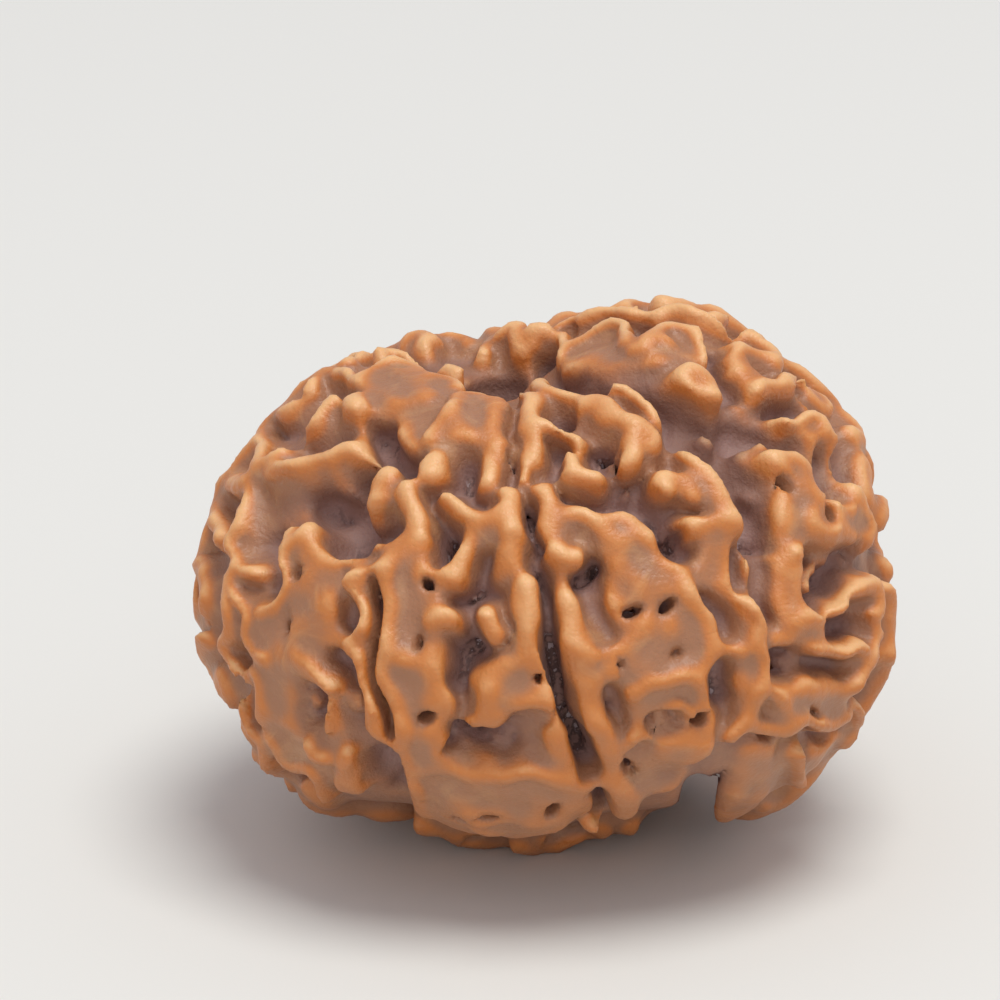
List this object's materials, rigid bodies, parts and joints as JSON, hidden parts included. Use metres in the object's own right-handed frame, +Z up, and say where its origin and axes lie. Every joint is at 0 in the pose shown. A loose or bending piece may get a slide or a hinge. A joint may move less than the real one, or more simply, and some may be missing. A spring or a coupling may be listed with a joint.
{
  "type": "rudraksha seed",
  "caption": "Rudraksha seed, a many-lobed brown stone carved all over with ridges, arches, knobs and pits, resting on its base.",
  "frame": {"origin": "middle of the seed's box, on the surface that it rests on", "axes": "+Z up, +X to the right and -Y towards the viewer of the pictured side"},
  "size_m": [0.0296, 0.0276, 0.0226],
  "materials": {
    "stone": "waxy satin"
  },
  "bodies": {
    "root": {"stone": "stone"}
  },
  "joints": []
}
